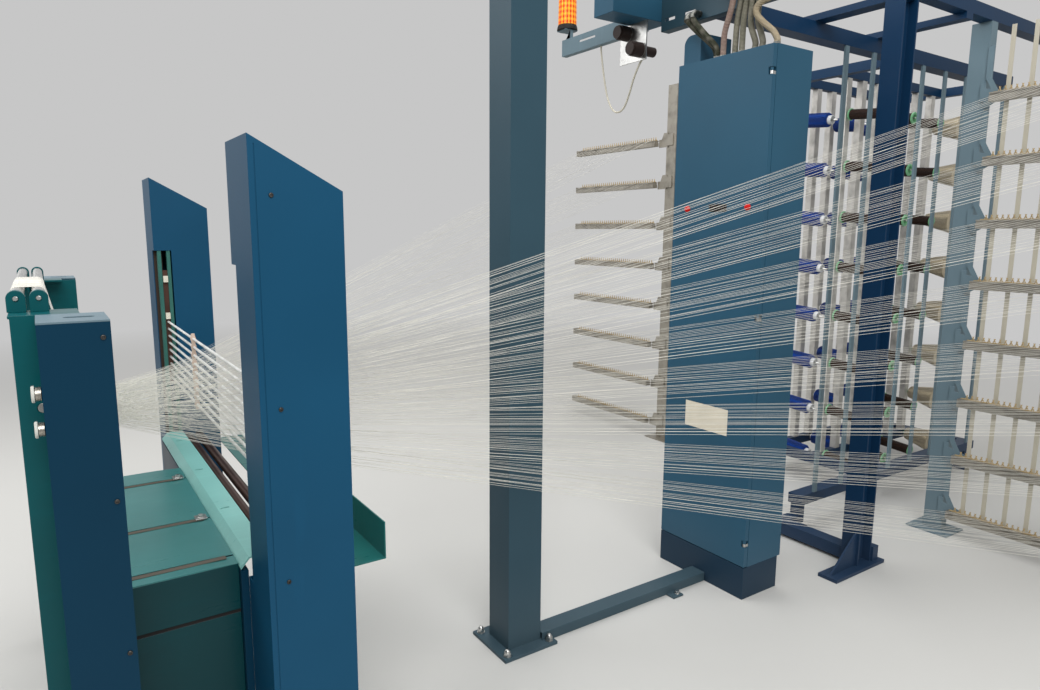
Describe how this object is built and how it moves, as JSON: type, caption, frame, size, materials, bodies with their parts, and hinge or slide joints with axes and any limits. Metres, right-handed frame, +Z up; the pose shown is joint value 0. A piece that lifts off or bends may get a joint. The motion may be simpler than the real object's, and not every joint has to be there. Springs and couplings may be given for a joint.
{
  "type": "warping machine",
  "caption": "Warping machine with creel: two yarn guide towers and a package frame feed a sheet of yarns through split rods and a reed to a take-up roll.",
  "frame": {"origin": "on the floor, in the middle of the foot plate of the portal post", "axes": "+X along the yarns from the head to the creel, +Y across the machine towards the left tower, +Z up"},
  "size_m": [5.2, 4.035, 2.82],
  "materials": {
    "post_paint": "satin dark blue powder coat",
    "machine_blue": "fine textured blue powder coat",
    "cabinet_blue": "fine textured blue powder coat",
    "grey_blue": "satin grey blue paint",
    "teal": "satin teal enamel",
    "dark_teal": "satin teal enamel",
    "steel": "bright zinc plated steel",
    "knob_white": "white plastic on a turned body",
    "aluminium": "brushed aluminium profile",
    "comb_cream": "matt cream ceramic",
    "slide_white": "white nylon",
    "carrier_brown": "brown primed iron",
    "roller_brown": "dark browned iron tube",
    "black_plastic": "matt black plastic",
    "lamp_amber": "clear amber plastic",
    "button_red": "red plastic",
    "card_white": "blank white card",
    "device_grey": "light grey plastic",
    "cable_grey": "grey cable sheath",
    "cable_pale": "pale grey cable sheath",
    "yarn_white": "ecru yarn",
    "packages": "wound yarn in blue, brown and cream"
  },
  "bodies": {
    "root": {"portal_post": "post_paint", "overhead_beam": "post_paint", "cross_channel": "post_paint", "near_tall_column": "machine_blue", "far_tall_column": "machine_blue", "near_short_column": "machine_blue", "far_short_column": "machine_blue", "floor_beam": "machine_blue", "overhead_box": "machine_blue", "creel_frame": "machine_blue", "cabinet_shell": "cabinet_blue", "cabinet_plinth": "cabinet_blue", "column_top_plates": "grey_blue", "slotted_arm": "grey_blue", "right_tower": "grey_blue", "creel_posts": "grey_blue", "side_walls": "teal", "deck_plates": "teal", "guide_angle": "teal", "yarn_tray": "teal", "slot_guides": "teal", "bearing_blocks": "teal", "lower_box": "dark_teal", "anchor_bolts": "steel", "floor_bolts": "steel", "hinge_pins": "steel", "cover_screws": "steel", "deck_clamps": "steel", "reed": "steel", "mounting_plate": "steel", "left_tower": "steel", "guide_rails": "aluminium", "rail_combs": "comb_cream", "lamp_base": "black_plastic", "drive_motors": "black_plastic", "deck_seals": "black_plastic", "lamp_dome": "lamp_amber", "switchgear": "device_grey", "supply_cables": "cable_grey", "hanging_cable": "cable_pale", "yarn_band": "yarn_white", "right_yarns": "yarn_white", "left_yarns": "yarn_white", "packages": "packages"},
    "door": {"cabinet_door": "cabinet_blue", "door_card": "card_white"},
    "latch": {"door_latch": "black_plastic"},
    "button_left": {"left_button": "button_red"},
    "button_right": {"right_button": "button_red"},
    "rod_carriage": {"rod_carriers": "carrier_brown", "split_rods": "steel", "slide_blocks": "slide_white"},
    "guide_roller_front": {"front_guide_roller": "roller_brown"},
    "guide_roller_back": {"back_guide_roller": "roller_brown"},
    "delivery_roller_front": {"front_delivery_roller": "steel"},
    "delivery_roller_back": {"back_delivery_roller": "steel"},
    "take_up": {"take_up_roll": "steel", "wound_yarn": "yarn_white"},
    "knob_upper": {"upper_knob": "knob_white"},
    "knob_lower": {"lower_knob": "knob_white"}
  },
  "joints": [
    {"name": "door_hinge", "type": "hinge", "parent": "root", "child": "door", "pos_m": [0.984, -0.279, 1.2], "axis": [0, 0, 1], "range_deg": [0, 80]},
    {"name": "latch_pivot", "type": "hinge", "parent": "door", "child": "latch", "pos_m": [0.983, -0.051, 1.647], "axis": [0, -1, 0], "range_deg": [0, 35], "stiffness_Nm_per_rad": 0.05, "springref_deg": -28.65},
    {"name": "button_left_press", "type": "slide", "parent": "door", "child": "button_left", "axis": [1, 0, 0], "range_m": [0, 0.004], "stiffness_N_per_m": 400, "springref_m": -0.004},
    {"name": "button_right_press", "type": "slide", "parent": "door", "child": "button_right", "axis": [1, 0, 0], "range_m": [0, 0.004], "stiffness_N_per_m": 400, "springref_m": -0.004},
    {"name": "rod_lift", "type": "slide", "parent": "root", "child": "rod_carriage", "axis": [0, 0, 1], "range_m": [-0.18, 0.09], "deforming": ["right_yarns", "left_yarns"]},
    {"name": "guide_front_spin", "type": "hinge", "parent": "root", "child": "guide_roller_front", "pos_m": [-0.97, 0.247, 0.745], "axis": [0, 1, 0], "continuous": true},
    {"name": "guide_back_spin", "type": "hinge", "parent": "root", "child": "guide_roller_back", "pos_m": [-0.93, 0.247, 0.745], "axis": [0, 1, 0], "continuous": true},
    {"name": "take_up_spin", "type": "hinge", "parent": "root", "child": "take_up", "pos_m": [-1.425, 0.247, 1.19], "axis": [0, 1, 0], "continuous": true},
    {"name": "delivery_front_spin", "type": "hinge", "parent": "root", "child": "delivery_roller_front", "pos_m": [-1.415, 0.247, 1.409], "axis": [0, 1, 0], "continuous": true},
    {"name": "delivery_back_spin", "type": "hinge", "parent": "root", "child": "delivery_roller_back", "pos_m": [-1.455, 0.247, 1.409], "axis": [0, 1, 0], "continuous": true},
    {"name": "knob_upper_turn", "type": "hinge", "parent": "root", "child": "knob_upper", "pos_m": [-1.424, -0.496, 1.239], "axis": [1, 0, 0], "range_deg": [0, 90]},
    {"name": "knob_lower_turn", "type": "hinge", "parent": "root", "child": "knob_lower", "pos_m": [-1.424, -0.496, 1.169], "axis": [1, 0, 0], "range_deg": [0, 90]}
  ],
  "couplings": [
    {"joint": "delivery_front_spin", "follows": "take_up_spin", "ratio": 3.2308},
    {"joint": "delivery_back_spin", "follows": "take_up_spin", "ratio": 3.2308}
  ]
}
